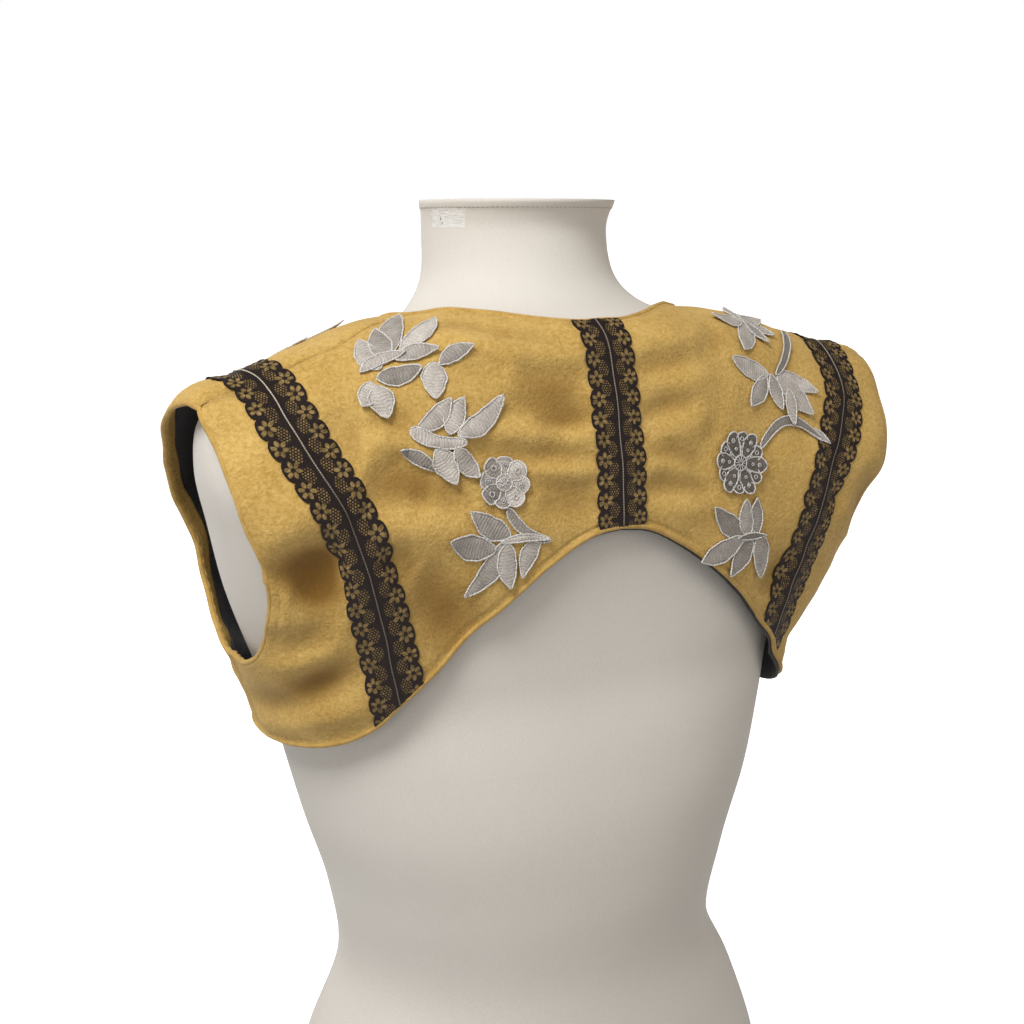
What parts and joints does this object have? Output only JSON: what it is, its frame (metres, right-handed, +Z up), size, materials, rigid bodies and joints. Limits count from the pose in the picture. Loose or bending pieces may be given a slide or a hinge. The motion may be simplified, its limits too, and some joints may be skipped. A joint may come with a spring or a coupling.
{
  "type": "sleeveless cropped bolero jacket on a limbless dress form",
  "caption": "Sleeveless cropped bolero with a scooped back hem, lace bands and leaf appliques, on a limbless torso form with a flat base.",
  "frame": {"origin": "bottom centre: the middle of the object's box, on the floor under the form's flat base", "axes": "+Z up along the form, +X towards the wearer's left, +Y towards the wearer's back"},
  "size_m": [0.4418, 0.2352, 0.672],
  "materials": {
    "mustard_cloth": "soft brushed nap",
    "black_fleece": "matt fleece",
    "black_lace": "matt thread",
    "silver_embroidery": "satin thread",
    "form_jersey": "fine matt jersey"
  },
  "bodies": {
    "root": {"dress_form": "form_jersey", "back_panel": "mustard_cloth", "front_left": "mustard_cloth", "front_right": "mustard_cloth", "facing_back_left": "mustard_cloth", "facing_back_right": "mustard_cloth", "facing_front_left": "mustard_cloth", "facing_front_right": "mustard_cloth", "lining_back": "black_fleece", "lining_front_left": "black_fleece", "lining_front_right": "black_fleece", "lace_centre": "black_lace", "lace_left": "black_lace", "lace_right": "black_lace", "leaves_left_upper": "silver_embroidery", "leaves_left_low": "silver_embroidery", "flower_left": "silver_embroidery", "leaves_right_top": "silver_embroidery", "leaves_right_middle": "silver_embroidery", "leaves_right_low": "silver_embroidery", "leaves_front_left": "silver_embroidery", "leaves_front_right": "silver_embroidery", "flower_right": "silver_embroidery"}
  },
  "joints": []
}
